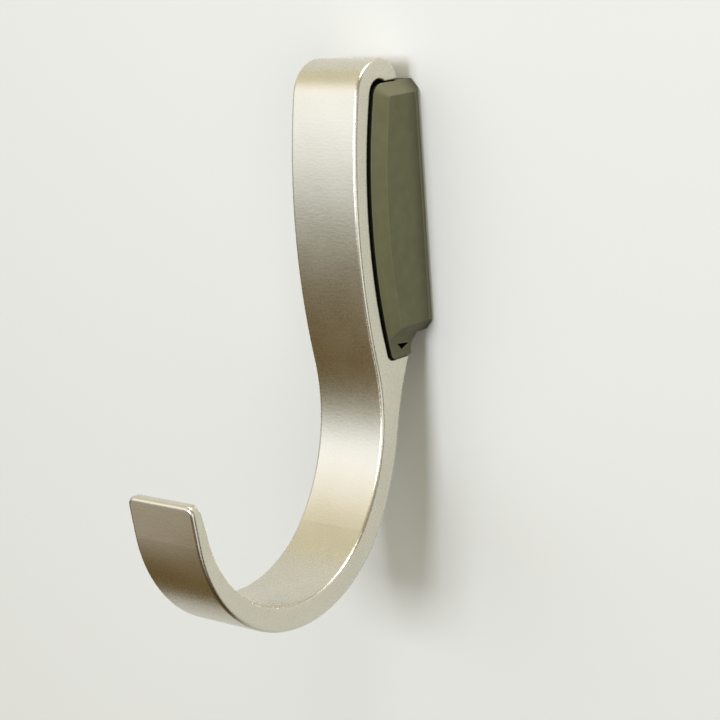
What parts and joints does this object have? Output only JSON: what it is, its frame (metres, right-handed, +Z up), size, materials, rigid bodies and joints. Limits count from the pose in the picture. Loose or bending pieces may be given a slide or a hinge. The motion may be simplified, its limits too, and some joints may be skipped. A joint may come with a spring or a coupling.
{
  "type": "wall hook",
  "caption": "J-shaped wall hook cut from aluminium extrusion, its C-shaped head clasping a bevelled grey plastic block that screws to the wall",
  "frame": {"origin": "middle of the block's flat back, halfway between its two screw holes, on the wall plane", "axes": "+Z up the wall, +Y into the wall, -Y out towards the hook's tip, X across the hook's width"},
  "size_m": [0.0186, 0.0635, 0.0943],
  "materials": {
    "anodised_aluminium": "satin, fine blasted and anodised",
    "grey_plastic": "matte moulded, olive grey"
  },
  "bodies": {
    "root": {"hook_body": "anodised_aluminium", "wall_block": "grey_plastic"}
  },
  "joints": []
}
